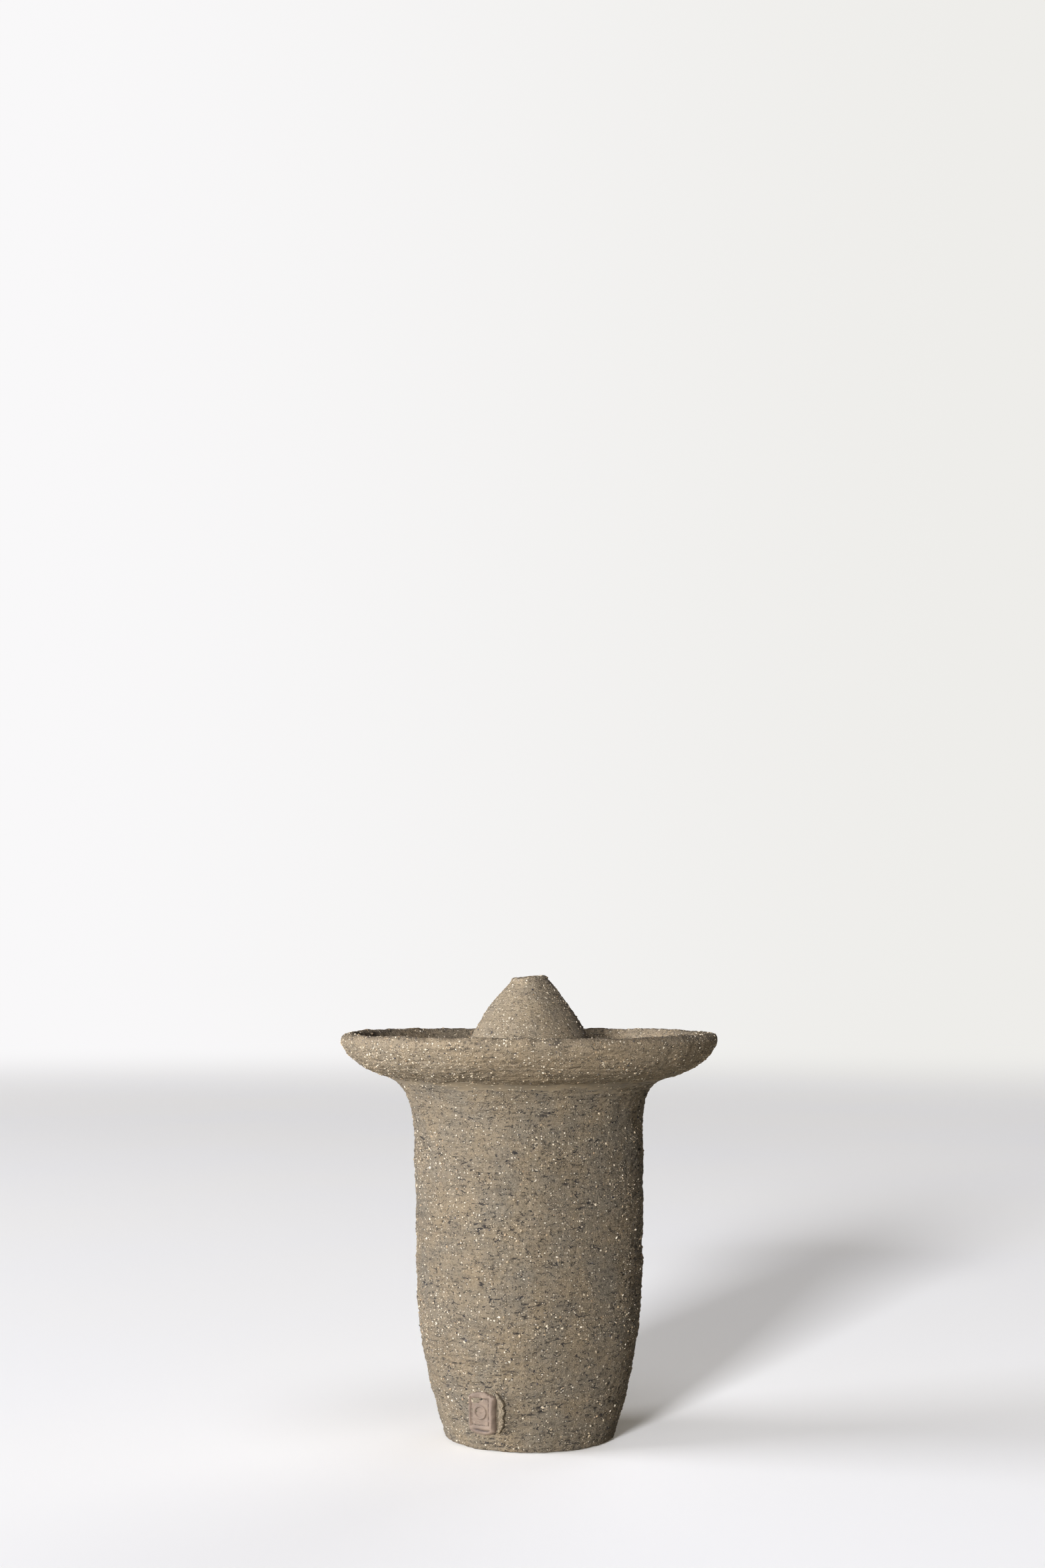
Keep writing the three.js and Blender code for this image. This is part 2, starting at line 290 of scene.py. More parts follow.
@dataclass(frozen=True)
class GroggedClay:
    """Unglazed stoneware with light and dark grog, torn a little by throwing and turning."""

    name: str
    lean: float = 0.9  # how fast throwing lines step inwards as they rise
    warm: Colour = (0.260, 0.207, 0.131, 1.0)
    cool: Colour = (0.213, 0.182, 0.129, 1.0)
    shade: Colour = (0.107, 0.091, 0.068, 1.0)
    # the colour of the painted shade in cracks, pits, tears and the gaps round grains
    pit: Colour = (0.030, 0.028, 0.028, 1.0)
    speck_share: float = 0.72
    shade_in_hollows: float = 0.85  # how dark cracks, pits and the gaps round grains are painted as shade: from 0, not darkened, to 1, black ones
    coarseness: float = 1.0  # how much of the fine relief is left
    roughness: float = 0.88

    def material(self) -> bpy.types.Material:
        """Makes the material."""
        graph = Graph(bpy.data.materials.new(self.name))
        place = graph.place()
        x, y, z = graph.split(place)
        drawn = z + (x * x + y * y) ** 0.5 * self.lean
        thrown = graph.node("ShaderNodeCombineXYZ", None, {0: x, 1: y, 2: drawn}).outputs[0]
        ragged = graph.strayed(place, 0.45 * MM, 0.5 * MM)

        patches = graph.noise(place, 11 * MM, 4.0, 0.6)
        lines = graph.noise(graph.stretched(thrown, (0.05, 0.05, 1.0)), 0.9 * MM, 3.0, 0.6)
        mottle = graph.noise(place, 1.9 * MM, 3.0, 0.65)
        grit = graph.noise(place, 0.38 * MM, 3.0, 0.7)
        # painted shade in the mesh's pits and tears, read from its "hollow" layer
        hollow = graph.attribute("hollow")
        cracks = self.cracks(graph, thrown, place)
        specks, shaded_gaps, size, _ = self.specks(graph, ragged, 0.86 * MM)
        dust, _, _, dust_pick = self.specks(graph, ragged, 0.5 * MM)
        pits = graph.noise(graph.stretched(place, (0.7, 0.7, 1.2)), 0.62 * MM, 2.0).step(0.65, 0.71)

        colour = graph.mix(patches.step(0.3, 0.7), self.warm, self.cool)
        colour = graph.mix(lines.step(0.48, 0.75) * 0.45, colour, self.shade)
        colour = graph.mix(mottle.step(0.5, 0.8) * 0.45, colour, self.shade)
        colour = graph.mix(grit.step(0.5, 0.85) * 0.55, colour, self.shade)
        colour = graph.mix(grit.step(0.5, 0.15) * 0.30, colour, (0.34, 0.285, 0.21, 1))
        dust_tones = [
            (0.4, (0.08, 0.07, 0.06, 1)),
            (0.55, (0.2, 0.155, 0.11, 1)),
            (0.8, (0.42, 0.35, 0.25, 1)),
        ]
        colour = graph.mix(dust * 0.8, colour, graph.ramp(dust_pick, dust_tones))
        speck_tones = [
            (0.0, (0.30, 0.22, 0.125, 1)),
            (0.4, (0.39, 0.31, 0.195, 1)),
            (0.7, (0.48, 0.395, 0.26, 1)),
            (1.0, (0.60, 0.53, 0.40, 1)),
        ]
        colour = graph.mix(specks * 0.95, colour, graph.ramp(size, speck_tones))
        # painted shade: cracks, pits, tears and the gaps round grains are darkened towards the pit colour, and also
        # dented in the height below
        dark = graph.math("MAXIMUM", graph.math("MAXIMUM", cracks, hollow), pits * 0.8)
        dark = graph.math("MAXIMUM", dark, shaded_gaps * mottle.step(0.42, 0.56)) * (1 - specks)
        colour = graph.mix(dark * self.shade_in_hollows, colour, self.pit)

        height = lines * (0.3 * MM) + mottle * (1.0 * MM) + grit * (0.8 * MM)
        height = height + specks * (0.2 * MM) + dust * (0.09 * MM) - dark * (0.2 * MM)
        height = height * self.coarseness
        roughness = self.roughness - specks * 0.4
        return graph.finish(
            {"Base Color": colour, "Roughness": roughness, "Specular IOR Level": 0.35}, height
        )

    def specks(self, graph: Graph, ragged: Any, apart: float) -> tuple[Value, Value, Value, Value]:
        """Grains of grog that lie flush in the clay.

        Args:
            graph: the graph.
            ragged: the place, strayed a little so that a grain's outline is broken.
            apart: the mean distance between grains.

        Returns:
            Where grains are, the gaps round them, which the clay darkens as painted shade, and two random numbers of
            each grain.
        """
        near, size, pick = graph.cells(ragged, apart)
        reach = size * size * 0.2 + 0.12
        shown = pick.step(1 - self.speck_share, 1.005 - self.speck_share)
        grains = (near - reach).step(0.05, -0.03) * shown
        gaps = (near - reach).step(0.15, 0.06) * shown
        return grains, graph.math("SUBTRACT", gaps, grains), size, pick

    def cracks(self, graph: Graph, thrown: Any, place: Any) -> Value:
        """Short, broken cracks that follow the throwing lines and the edges of hidden grains; the clay paints them
        dark as shade.
        """
        wander = graph.strayed(thrown, 0.9 * MM, 0.8 * MM)
        long = graph.edges(graph.stretched(wander, (0.33, 0.33, 1.0)), 1.5 * MM).step(0.06, 0.02)
        long = long * graph.noise(graph.stretched(thrown, (0.4, 0.4, 1.0)), 1.7 * MM, 2.0).step(0.585, 0.65)
        short = graph.edges(graph.strayed(place, 0.6 * MM, 0.6 * MM), 1.5 * MM).step(0.065, 0.02)
        short = short * graph.noise(graph.stretched(place, (0.7, 0.7, 1.0)), 0.95 * MM, 1.0).step(0.575, 0.65)
        return graph.math("MAXIMUM", long, short)


@dataclass(frozen=True)
class FineClay:
    """Clay with little grog in it, smoothed by a finger or a seal."""

    name: str
    light: Colour
    dark: Colour
    speck_share: float = 0.08
    roughness: float = 0.82

    def material(self) -> bpy.types.Material:
        """Makes the material."""
        graph = Graph(bpy.data.materials.new(self.name))
        place = graph.place()
        patches = graph.noise(place, 4 * MM, 4.0, 0.6)
        wiped = graph.noise(graph.stretched(place, (0.12, 0.12, 1.0)), 0.7 * MM, 3.0)
        grit = graph.noise(place, 0.4 * MM, 3.0, 0.6)
        near, size, tone = graph.cells(place, 1.2 * MM)
        specks = (near - size * 0.3).step(0.06, -0.02) * tone.step(1 - self.speck_share, 1.01 - self.speck_share)
        hollow = graph.attribute("hollow")
        colour = graph.mix(patches.step(0.3, 0.7), self.light, self.dark)
        colour = graph.mix(wiped.step(0.5, 0.8) * 0.3, colour, (0.10, 0.08, 0.065, 1))
        colour = graph.mix(specks * 0.9, colour, (0.42, 0.36, 0.26, 1))
        # painted shade where the mesh's "hollow" layer marks grooves, gaps and dents
        colour = graph.mix(hollow * 0.8, colour, (0.04, 0.032, 0.029, 1))
        height = patches * (0.08 * MM) + wiped * (0.05 * MM) + grit * (0.04 * MM)
        roughness = self.roughness - patches * 0.12
        return graph.finish(
            {"Base Color": colour, "Roughness": roughness, "Specular IOR Level": 0.35}, height
        )


@dataclass(frozen=True)
class GrogGrain:
    """The grains that stand out of the clay, each of one tone from charcoal to white."""

    name: str = "grog grain"
    roughness: float = 0.42

    def material(self) -> bpy.types.Material:
        """Makes the material."""
        graph = Graph(bpy.data.materials.new(self.name))
        tone = graph.attribute("tone")
        grit = graph.noise(graph.place(), 0.3 * MM, 2.0)
        colour = graph.ramp(
            tone,
            [
                (0.0, (0.03, 0.03, 0.034, 1)),
                (0.22, (0.09, 0.075, 0.065, 1)),
                (0.3, (0.26, 0.18, 0.10, 1)),
                (0.5, (0.34, 0.265, 0.16, 1)),
                (0.75, (0.43, 0.36, 0.245, 1)),
                (1.0, (0.55, 0.49, 0.37, 1)),
            ],
        )
        colour = graph.mix(grit.step(0.45, 0.75) * 0.45, colour, (0.16, 0.13, 0.1, 1))
        return graph.finish(
            {"Base Color": colour, "Roughness": self.roughness + grit * 0.3}, grit * (0.05 * MM)
        )


@dataclass(frozen=True)
class LinerGlaze:
    """A thin, dark, glossy glaze that breaks lighter where it runs thin."""

    name: str = "liner glaze"
    thick: Colour = (0.045, 0.030, 0.020, 1.0)
    thin: Colour = (0.155, 0.085, 0.040, 1.0)

    def material(self) -> bpy.types.Material:
        """Makes the material."""
        graph = Graph(bpy.data.materials.new(self.name))
        place = graph.place()
        runs = graph.noise(graph.stretched(place, (1.0, 1.0, 0.25)), 6 * MM, 4.0)
        holes, _, pick = graph.cells(place, 5 * MM)
        pinholes = holes.step(0.07, 0.04) * pick.step(0.7, 0.72)
        colour = graph.mix(runs.step(0.35, 0.7), self.thick, self.thin)
        colour = graph.mix(pinholes, colour, (0.2, 0.16, 0.12, 1))
        return graph.finish(
            {"Base Color": colour, "Roughness": 0.16 + runs * 0.12},
            runs * (0.1 * MM) - pinholes * (0.2 * MM),
        )


@dataclass(frozen=True)
class Slip:
    """The fine, grey-brown slip that fills a scored seam."""

    name: str = "slip"

    def material(self) -> bpy.types.Material:
        """Makes the material."""
        graph = Graph(bpy.data.materials.new(self.name))
        place = graph.place()
        smears = graph.noise(graph.stretched(place, (0.3, 0.3, 1.0)), 1.5 * MM, 4.0, 0.6)
        colour = graph.mix(smears.step(0.3, 0.7), (0.16, 0.135, 0.105, 1), (0.21, 0.18, 0.14, 1))
        return graph.finish({"Base Color": colour, "Roughness": 0.85 + smears * 0.1}, smears * (0.1 * MM))


@dataclass(frozen=True)
class Paper:
    """The matt paper that the vase stands on, which glows more and more with the distance from the vase."""

    backdrop: tuple[Colour, Colour]  # what the paper fades to, on the left and on the right
    name: str = "paper"
    colour: Colour = (0.90, 0.877, 0.80, 1.0)
    glow: Colour = (0.085, 0.078, 0.064, 1.0)  # under the vase
    fading: tuple[float, float] = (0.8, 3.4)  # the distances between which it fades to the backdrop

    def material(self) -> bpy.types.Material:
        """Makes the material."""
        graph = Graph(bpy.data.materials.new(self.name))
        place = graph.place()
        clouds = graph.noise(place, 0.35, 2.0)
        colour = graph.mix(clouds.step(0.3, 0.7) * 0.2, self.colour, grey(0.85))
        x, y, _ = graph.split(place)
        distance = (x * x + y * y + 1e-6) ** 0.5
        away = distance.step(*self.fading)
        away = away * away * (3 - 2 * away)
        far = graph.mix((x / distance).step(-0.25, 0.25), *self.backdrop)
        return graph.finish(
            {
                "Base Color": graph.mix(away, colour, (0.0, 0.0, 0.0, 1.0)),
                "Roughness": 0.95,
                "Specular IOR Level": 0.0,
                "Emission Color": graph.mix(away, self.glow, far),
                "Emission Strength": 1.0,
            }
        )


# ------------------------------------------------------------------------------------------ shaping


class Profile:
    """A line on the (radius, height) plane, with a share of relief at each point."""

    def __init__(self, radius: float, height: float, relief: float = 0.0) -> None:
        """Starts the line at a point."""
        self.points = [Vector((radius, height))]
        self.reliefs = [relief]

    @property
    def end(self) -> Vector:
        """The point reached so far."""
        return self.points[-1]

    def _walk(self, draft: list[Vector], spacing: float, relief: float | None) -> "Profile":
        """Adds the points of a draft line, evenly spaced.

        Args:
            draft: points from the end reached so far to the new end.
            spacing: the distance to keep between points, or a little less.
            relief: the share of relief at the new end; None keeps the last.

        Returns:
            The profile itself.
        """
        steps = np.cumsum([0.0] + [(b - a).length for a, b in zip(draft, draft[1:])])
        count = max(1, math.ceil(steps[-1] / spacing))
        first = self.reliefs[-1]
        last = first if relief is None else relief
        for i in range(1, count + 1):
            share = i / count
            radius = float(np.interp(share * steps[-1], steps, [p.x for p in draft]))
            height = float(np.interp(share * steps[-1], steps, [p.y for p in draft]))
            self.points.append(Vector((radius, height)))
            self.reliefs.append(first + (last - first) * share)
        return self

    def line(self, radius: float, height: float, spacing: float, relief: float | None = None) -> "Profile":
        """Goes on straight to a point."""
        return self._walk([self.end, Vector((radius, height))], spacing, relief)

    def bend(self, corner: tuple[float, float], end: tuple[float, float], spacing: float,
             relief: float | None = None) -> "Profile":
        """Goes on along a curve that heads for a corner and then for its end."""
        start, corner, end = self.end, Vector(corner), Vector(end)
        handles = start.lerp(corner, 2 / 3), end.lerp(corner, 2 / 3)
        draft = geometry.interpolate_bezier(start, handles[0], handles[1], end, CURVE_DRAFT)
        return self._walk([Vector(p[:2]) for p in draft], spacing, relief)

    def round_over(self, radius: float, height: float, spacing: float, relief: float | None = None) -> "Profile":
        """Goes on round a half circle to a point, bulging to the right of the straight way there."""
        end = Vector((radius, height))
        middle = (self.end + end) / 2
        arm = self.end - middle
        turns = [math.pi * i / CURVE_DRAFT for i in range(CURVE_DRAFT + 1)]
        draft = [
            middle + Vector((arm.x * math.cos(t) - arm.y * math.sin(t), arm.x * math.sin(t) + arm.y * math.cos(t)))
            for t in turns
        ]
        return self._walk(draft, spacing, relief)

    def radius_at(self, height: float) -> float:
        """The radius where a rising line passes a height."""
        return float(np.interp(height, [p.y for p in self.points], [p.x for p in self.points]))

    def spun(self, turns: int, closed: bool) -> bmesh.types.BMesh:
        """Turns the line about the Z axis.

        Args:
            turns: facets round the axis, a multiple of the wedges.
            closed: whether the last point joins the first; otherwise both lie on the axis.

        Returns:
            A closed mesh with its faces outwards and a "relief" layer.
        """
        shape = bmesh.new()
        layer = shape.verts.layers.float.new("relief")
        verts = []
        for point, relief in zip(self.points, self.reliefs):
            vert = shape.verts.new((point.x, 0.0, point.y))
            vert[layer] = relief
            verts.append(vert)
        edges = [shape.edges.new(pair) for pair in zip(verts, verts[1:])]
        if closed:
            edges.append(shape.edges.new((verts[-1], verts[0])))
        wedge = 2 * math.pi / WEDGES
        bmesh.ops.spin(
            shape, geom=verts + edges, cent=(0, 0, 0), axis=(0, 0, 1), angle=wedge, steps=turns // WEDGES
        )
        while wedge < 2 * math.pi - 0.01:
            copy = bmesh.ops.duplicate(shape, geom=shape.verts[:] + shape.edges[:] + shape.faces[:])["geom"]
            copied = [item for item in copy if isinstance(item, bmesh.types.BMVert)]
            bmesh.ops.rotate(shape, verts=copied, cent=(0, 0, 0), matrix=Matrix.Rotation(wedge, 3, "Z"))
            wedge *= 2
        bmesh.ops.remove_doubles(shape, verts=shape.verts, dist=MERGE_DISTANCE)
        bmesh.ops.recalc_face_normals(shape, faces=shape.faces)
        return shape


@dataclass(frozen=True)
class ThrownSurface:
    """The relief that throwing and turning leave on coarse clay, in metres."""

    lean: float = 0.9  # how fast throwing lines step inwards as they rise
    lines: float = 0.22 * MM
    lumps: float = 0.32 * MM
    grit: float = 0.24 * MM
    tear: float = 0.36 * MM
    pit: float = 0.30 * MM
    seed: float = 0.0

    def at(self, place: Vector) -> tuple[float, float]:
        """The relief at a place.

        Args:
            place: a point of the smooth form.

        Returns:
            The height above the smooth form, and how deep in a pit or tear the place is, from 0 to 1, which the clay
            paints as shade.
        """
        x, y, z = (place / MM)[:]
        drawn = z + self.lean * math.hypot(x, y) + self.seed
        lines = noise.noise(Vector((x / 24, y / 24, drawn / 1.6)))
        lines += 0.6 * noise.noise(Vector((x / 11, y / 11, drawn / 0.8)))
        lumps = noise.noise(Vector((x / 8, y / 8, z / 6 + self.seed)))
        lumps += 0.5 * noise.noise(Vector((x / 3, y / 3, z / 2.4 + self.seed)))
        grit = noise.noise(Vector((x / 1.3, y / 1.3, z / 1.1 + self.seed)))
        patch = ease(noise.noise(Vector((x / 12, y / 12, z / 9 + self.seed))), -0.15, 0.3)
        tear = noise.noise(Vector((x / 2.3, y / 2.3, drawn / 0.62)))
        tear = ease(tear, 0.46, 0.62) * (0.3 + 0.7 * patch)
        pit = noise.voronoi(Vector((x / 2.1, y / 2.1, z / 1.7 + self.seed)))[0][0]
        pit = ease(pit, 0.22, 0.08) * patch
        height = self.lines * lines + self.lumps * lumps + self.grit * grit - self.tear * tear - self.pit * pit
        return height, max(tear, pit)


def raise_relief(shape: bmesh.types.BMesh, surface: ThrownSurface) -> None:
    """Gives a mesh its relief along its normals, by its "relief" layer, and a "hollow" layer: the painted shade that
    the clay puts in its pits and tears.
    """
    relief = shape.verts.layers.float["relief"]
    hollow = shape.verts.layers.float.new("hollow")
    shape.normal_update()
    moves = []
    for vert in shape.verts:
        share = vert[relief]
        height, depth = surface.at(vert.co) if share > 0 else (0.0, 0.0)
        vert[hollow] = depth * share
        moves.append(vert.normal * (height * share))
    for vert, move in zip(shape.verts, moves):
        vert.co += move


def settle(shape: bmesh.types.BMesh, name: str, finish: bpy.types.Material,
           replaces: tuple[str, ...] = (), smooth: bool = True) -> bpy.types.Object:
    """Makes a finished piece of a mesh, riding on the vase's one body.

    Args:
        shape: the mesh, which is freed.
        name: the piece's name.
        finish: its material.
        replaces: the model's nodes that it stands for.
        smooth: whether its faces are shaded smooth.

    Returns:
        The piece.
    """
    mesh = bpy.data.meshes.new(name)
    for face in shape.faces:
        face.smooth = smooth
    shape.to_mesh(mesh)
    shape.free()
    mesh.materials.append(finish)
    piece = bpy.data.objects.new(name, mesh)
    bpy.context.scene.collection.objects.link(piece)
    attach(piece, BODY)
    if replaces:
        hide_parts(*replaces)
    log.info("%s: %d faces", name, len(mesh.polygons))
    return piece


@dataclass(frozen=True)
class Grog:
    """Grains of grog that stand out of a thrown surface."""

    name: str
    count: int
    least: float
    most: float
    dark_share: float = 0.2
    seed: int = 1

    def scatter(self, host: bpy.types.Object, density: Callable[[Vector], float],
                finish: bpy.types.Material) -> bpy.types.Object:
        """Sets the grains into a piece.

        Args:
            host: the piece.
            density: how thick the grains lie at a place, from 0 to 1.
            finish: the grains' material.

        Returns:
            The grains, as one piece.
        """
        chance = random.Random(self.seed)
        faces = host.data.polygons
        shares = host.data.attributes["relief"].data
        weights = [
            face.area * density(face.center) if shares[face.vertices[0]].value > 0.5 else 0.0
            for face in faces
        ]
        spots = chance.choices(range(len(faces)), weights, k=self.count)
        whole = bmesh.new()
        whole.verts.layers.float.new("tone")
        for start in range(0, self.count, GRAINS_AT_A_TIME):
            batch = bmesh.new()
            tone = batch.verts.layers.float.new("tone")
            for spot in spots[start:start + GRAINS_AT_A_TIME]:
                self._set_grain(batch, tone, faces[spot], chance)
            mesh = bpy.data.meshes.new("batch")
            batch.to_mesh(mesh)
            batch.free()
            whole.from_mesh(mesh)
            bpy.data.meshes.remove(mesh)
        return settle(whole, self.name, finish, smooth=False)

    def _set_grain(self, batch: bmesh.types.BMesh, tone: Any, face: bpy.types.MeshPolygon,
                   chance: random.Random) -> None:
        """Adds one grain, half sunk in a face."""
        size = self.least + (self.most - self.least) * chance.random() ** 3
        upright = face.normal.to_track_quat("Z", "Y").to_matrix().to_4x4()
        place = Matrix.Translation(face.center + face.normal * size * chance.uniform(-0.22, 0.12))
        turn = Matrix.Rotation(chance.uniform(0, 2 * math.pi), 4, "Z")
        tilt = Matrix.Rotation(chance.uniform(-0.5, 0.5), 4, "X")
        shape = Matrix.Diagonal((1.0, chance.uniform(0.5, 0.95), chance.uniform(0.5, 0.85), 1.0))
        made = bmesh.ops.create_icosphere(
            batch, subdivisions=1, radius=size / 2, matrix=place @ upright @ turn @ tilt @ shape
        )
        if chance.random() < self.dark_share:
            shade = chance.uniform(0.0, 0.25)
        else:
            shade = 0.3 + 0.7 * chance.random() ** 0.8
        middle = place.translation
        for vert in made["verts"]:
            vert[tone] = shade
            vert.co = middle + (vert.co - middle) * chance.uniform(0.75, 1.2)


# ------------------------------------------------------------------------------------------ thrown pieces


@dataclass
class Vessel:
    """The thrown body, from its flat foot to the flared collar."""

    foot_radius: float = 25.3 * MM
    foot_edge: float = 0.9 * MM
    belly_radius: float = 34 * MM
    belly_height: float = 50 * MM
    shoulder_radius: float = 34.7 * MM
    flare_height: float = 14.2 * MM
    flare_slope: float = 0.8
    wall: float = 5 * MM
    floor: float = 6.5 * MM
    foot_hollow: float = 0.25 * MM  # how far the wire-cut foot is hollowed
    turns: int = 320
    row: float = 0.405 * MM
    surface: ThrownSurface = field(default_factory=ThrownSurface)

    def __post_init__(self) -> None:
        """Takes the mouth's size from the model and draws the side."""
        low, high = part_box("vessel")
        self.mouth = high.z
        self.collar_radius = high.x
        self.side = (
            Profile(self.foot_radius, low.z + self.foot_edge, 1.0)
            .bend((self.belly_radius, self.belly_height / 2), (self.belly_radius, self.belly_height), self.row)
            .line(self.shoulder_radius, self.mouth - self.flare_height, self.row)
            .bend(
                (self.shoulder_radius, self.mouth - self.flare_slope * (self.collar_radius - self.shoulder_radius)),
                (self.collar_radius, self.mouth),
                self.row,
            )
        )

    def profile(self) -> Profile:
        """The whole section, from the axis under the foot round to the axis on the floor."""
        line = Profile(0.0, self.foot_hollow, 0.0)
        line.line(self.foot_radius * 0.9, self.foot_hollow * 0.6, 1.1 * MM, 0.3)
        line.bend((self.foot_radius - self.foot_edge * 0.3, 0.0), tuple(self.side.points[0]), self.row, 0.8)
        line.points += self.side.points[1:]
        line.reliefs += self.side.reliefs[1:]
        inside = self.collar_radius - self.wall * 1.33
        line.line(inside, self.mouth, 2.2 * MM, 0.0)
        line.bend(
            (self.shoulder_radius - self.wall, self.mouth - self.flare_height * 0.5),
            (self.shoulder_radius - self.wall, self.mouth - self.flare_height), 4 * MM,
        )
        line.line(self.belly_radius - self.wall, self.belly_height, 20 * MM)
        line.line(self.foot_radius - self.wall * 0.8, self.floor + self.wall * 1.2, 12 * MM)
        line.line(0.0, self.floor, 30 * MM)
        return line

    def stray(self, place: Vector) -> Vector:
        """How far the form strays from true round at a place."""
        angle = math.atan2(place.y, place.x)
        rise = place.z / self.mouth
        swell = noise.noise(Vector((math.cos(angle) * 0.9, math.sin(angle) * 0.9, place.z / (45 * MM))))
        collar = ease(place.z, self.mouth - 20 * MM, self.mouth)
        lean = Vector((-0.35 * MM * ease(rise, 0.2, 1.0) - 0.5 * MM * collar, 0.0, 0.0))
        outward = Vector((math.cos(angle), math.sin(angle), 0.0))
        return lean + outward * (0.45 * MM * swell * ease(rise, 0.02, 0.2))

    def density(self, place: Vector) -> float:
        """How thick the grog shows at a place."""
        up = place.z
        if up < 1.2 * MM:
            return 0.0
        level = 0.55 + 0.45 * ease(up, 14 * MM, 34 * MM)
        level *= 1 - 0.75 * ease(up, self.mouth - 14 * MM, self.mouth - 3 * MM)
        patch = noise.noise(Vector((place.x / (13 * MM), place.y / (13 * MM), place.z / (8 * MM))))
        return level * (0.25 + 0.75 * ease(patch, -0.35, 0.35))

    def build(self, clay: bpy.types.Material, grain: bpy.types.Material) -> None:
        """Makes the vessel and its grog."""
        shape = self.profile().spun(self.turns, closed=False)
        relief = shape.verts.layers.float["relief"]
        for vert in shape.verts:
            vert.co += self.stray(vert.co) * min(vert[relief], 1.0)
        raise_relief(shape, self.surface)
        for vert in shape.verts:
            vert.co.z = max(vert.co.z, 0.0)
        body = settle(shape, "vessel_body", clay, ("vessel",))
        Grog("vessel_coarse_grog", 3300, 0.42 * MM, 1.0 * MM, 0.06, 11).scatter(body, self.density, grain)
        Grog("vessel_fine_grog", 9400, 0.22 * MM, 0.48 * MM, 0.12, 12).scatter(body, self.density, grain)


@dataclass
class Dish:
    """The wide, upturned dish on the collar."""

    seat_radius: float = 40 * MM
    floor: float = 5 * MM
    under_slope: float = 0.22
    rim_lean: float = 3.5 * MM
    rim_thickness: float = 4.4 * MM
    inner_sweep: float = 8.6 * MM
    hole_radius: float = 14.4 * MM
    rim_inset: float = 0.5 * MM  # kept inside the model's box, for the rim's unevenness
    turns: int = 560
    row: float = 0.42 * MM
    surface: ThrownSurface = field(default_factory=lambda: ThrownSurface(seed=40.0, tear=0.3 * MM))

    def __post_init__(self) -> None:
        """Takes the dish's size from the model."""
        low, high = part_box("dish")
        self.seat = low.z
        self.radius = high.x - self.rim_inset
        self.top = high.z - self.rim_inset

    def profile(self) -> Profile:
        """The closed section, from the hole's lower edge outwards and back over the floor."""
        floor_top = self.seat + self.floor
        line = Profile(self.hole_radius, self.seat, 0.0)
        line.line(self.seat_radius - 1.2 * MM, self.seat, 4 * MM, 0.0)
        line.line(self.seat_radius, self.seat, 0.6 * MM, 1.0)
        corner = Vector((
            self.radius - self.rim_lean,
            self.seat + self.under_slope * (self.radius - self.rim_lean - self.seat_radius),
        ))
        rim_start = Vector((self.radius - 0.1 * MM, self.top - self.rim_thickness * 0.7))
        line.bend(tuple(corner), tuple(rim_start), self.row)
        along = (rim_start - corner).normalized()
        inner = rim_start + Vector((-along.y, along.x)) * self.rim_thickness
        line.round_over(inner.x, inner.y, 0.34 * MM)
        inner_corner = inner + along * ((floor_top - inner.y) / along.y)
        line.bend(tuple(inner_corner), (inner_corner.x - self.inner_sweep, floor_top), self.row)
        line.line(22 * MM, floor_top, 0.5 * MM, 0.8)
        line.line(20.5 * MM, floor_top, 0.5 * MM, 0.0)
        line.line(self.hole_radius, floor_top, 6 * MM)
        return line

    def stray(self, place: Vector) -> Vector:
        """How far the form strays from true round at a place: the rim rises and falls a little."""
        angle = math.atan2(place.y, place.x)
        around = Vector((math.cos(angle), math.sin(angle), 0.0))
        reach = ease(math.hypot(place.x, place.y), self.seat_radius, self.radius)
        wave = noise.noise(around * 1.3 + Vector((0, 0, 7.0))) + 0.4 * noise.noise(around * 5 + Vector((0, 0, 3.0)))
        swell = noise.noise(around * 1.1 + Vector((0, 0, 21.0)))
        return reach * (Vector((0, 0, 0.45 * MM * wave)) + around * (0.3 * MM * swell))

    def density(self, place: Vector) -> float:
        """How thick the grog shows at a place."""
        reach = ease(math.hypot(place.x, place.y), self.seat_radius + 1 * MM, self.radius - 4 * MM)
        patch = noise.noise(Vector((place.x / (12 * MM), place.y / (12 * MM), place.z / (5 * MM))))
        return (0.35 + 0.65 * reach) * (0.35 + 0.65 * ease(patch, -0.35, 0.35))

    def build(self, clay: bpy.types.Material, grain: bpy.types.Material) -> None:
        """Makes the dish and its grog."""
        shape = self.profile().spun(self.turns, closed=True)
        relief = shape.verts.layers.float["relief"]
        for vert in shape.verts:
            vert.co += self.stray(vert.co) * vert[relief]
        raise_relief(shape, self.surface)
        body = settle(shape, "dish_body", clay, ("dish",))
        Grog("dish_grog", 8600, 0.26 * MM, 0.85 * MM, 0.08, 21).scatter(body, self.density, grain)


